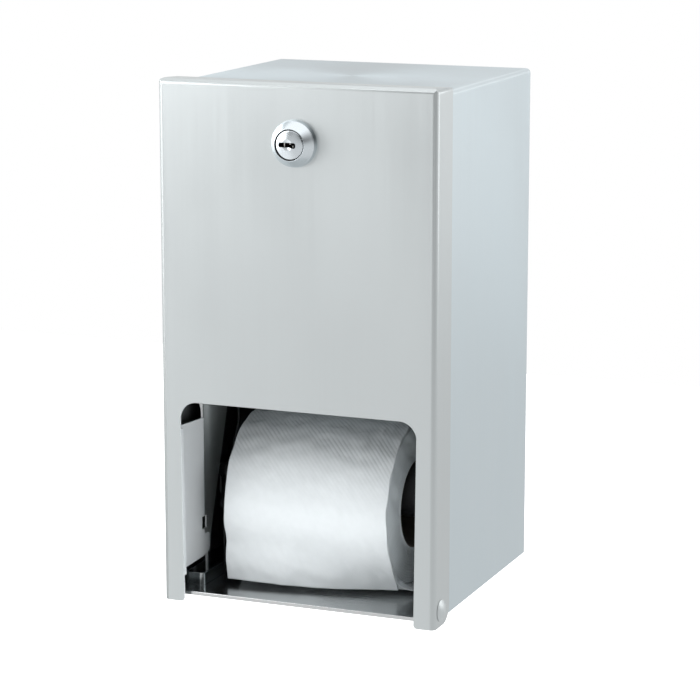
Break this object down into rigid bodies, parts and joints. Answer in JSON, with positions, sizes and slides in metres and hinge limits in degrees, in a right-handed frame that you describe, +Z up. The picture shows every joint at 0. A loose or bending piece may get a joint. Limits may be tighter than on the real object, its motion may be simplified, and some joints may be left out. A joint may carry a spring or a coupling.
{
  "type": "toilet tissue dispenser",
  "caption": "Wall-mounted stainless toilet tissue dispenser: tip-down locking door with an open front, a roll in use below and a reserve roll above on spindles.",
  "frame": {"origin": "middle of the four wall holes, on the back face", "axes": "+X to the right seen from the front, +Y from the door to the wall, +Z up"},
  "size_m": [0.158, 0.1592, 0.279],
  "materials": {
    "door_steel": "satin, grain running up and down",
    "cabinet_steel": "satin, grain running up and down",
    "plate_steel": "mill finish",
    "rivet_steel": "smooth",
    "washer_nylon": "moulded nylon",
    "lock_chrome": "polished",
    "zinc_steel": "zinc plated",
    "nut_brass": "turned",
    "spindle_plastic": "moulded, fine grain",
    "tissue": "embossed in fine slanting lines",
    "core_board": "wound board"
  },
  "bodies": {
    "cabinet": {"cabinet_wrap": "cabinet_steel", "back_panel": "cabinet_steel", "floor_panel": "cabinet_steel", "lock_strike": "plate_steel", "spindle_guard_left": "plate_steel", "spindle_guard_right": "plate_steel", "track_plate_left": "plate_steel", "track_plate_right": "plate_steel", "foot_bracket_left": "plate_steel", "foot_bracket_right": "plate_steel", "plate_studs": "plate_steel", "lever_pin_left": "plate_steel", "lever_pin_right": "plate_steel", "lever_clips": "plate_steel", "hinge_rivet_left": "rivet_steel", "hinge_rivet_right": "rivet_steel", "hinge_washers": "washer_nylon"},
    "door": {"door_panel": "door_steel", "lock_housing": "lock_chrome", "lock_washer": "zinc_steel", "lock_nut": "nut_brass"},
    "lock_cylinder": {"lock_plug": "lock_chrome", "lock_cam": "zinc_steel", "cam_screw": "zinc_steel"},
    "lever_left": {"release_lever_left": "plate_steel"},
    "lever_right": {"release_lever_right": "plate_steel"},
    "spindle_in_use": {"spindle_lower": "spindle_plastic", "paper_tail": "tissue", "slack_plies": "tissue"},
    "roll_in_use": {"core_lower": "core_board", "roll_lower": "tissue"},
    "spindle_in_reserve": {"spindle_upper": "spindle_plastic"},
    "roll_in_reserve": {"core_upper": "core_board", "roll_upper": "tissue"}
  },
  "joints": [
    {"name": "door_hinge", "type": "hinge", "parent": "cabinet", "child": "door", "pos_m": [0, -0.1415, -0.131], "axis": [1, 0, 0], "range_deg": [0, 98]},
    {"name": "lock_turn", "type": "hinge", "parent": "door", "child": "lock_cylinder", "pos_m": [0, -0.151, 0.109], "axis": [0, 1, 0], "range_deg": [0, 90]},
    {"name": "lever_left_tip", "type": "hinge", "parent": "cabinet", "child": "lever_left", "pos_m": [-0.071, -0.047, 0.0105], "axis": [1, 0, 0], "range_deg": [0, 12]},
    {"name": "lever_right_tip", "type": "hinge", "parent": "cabinet", "child": "lever_right", "pos_m": [0.071, -0.047, 0.0105], "axis": [1, 0, 0], "range_deg": [0, 12]},
    {"name": "spindle_in_use_lift", "type": "slide", "parent": "cabinet", "child": "spindle_in_use", "axis": [0, 0, 1], "range_m": [0, 0.015]},
    {"name": "roll_in_use_spin", "type": "hinge", "parent": "spindle_in_use", "child": "roll_in_use", "pos_m": [0, -0.088, -0.09], "axis": [1, 0, 0], "continuous": true},
    {"name": "spindle_in_reserve_lift", "type": "slide", "parent": "cabinet", "child": "spindle_in_reserve", "axis": [0, 0, 1], "range_m": [0, 0.008]},
    {"name": "roll_in_reserve_spin", "type": "hinge", "parent": "spindle_in_reserve", "child": "roll_in_reserve", "pos_m": [0, -0.077, 0.0355], "axis": [1, 0, 0], "continuous": true}
  ],
  "couplings": [
    {"joint": "lever_right_tip", "follows": "lever_left_tip", "ratio": 1}
  ]
}
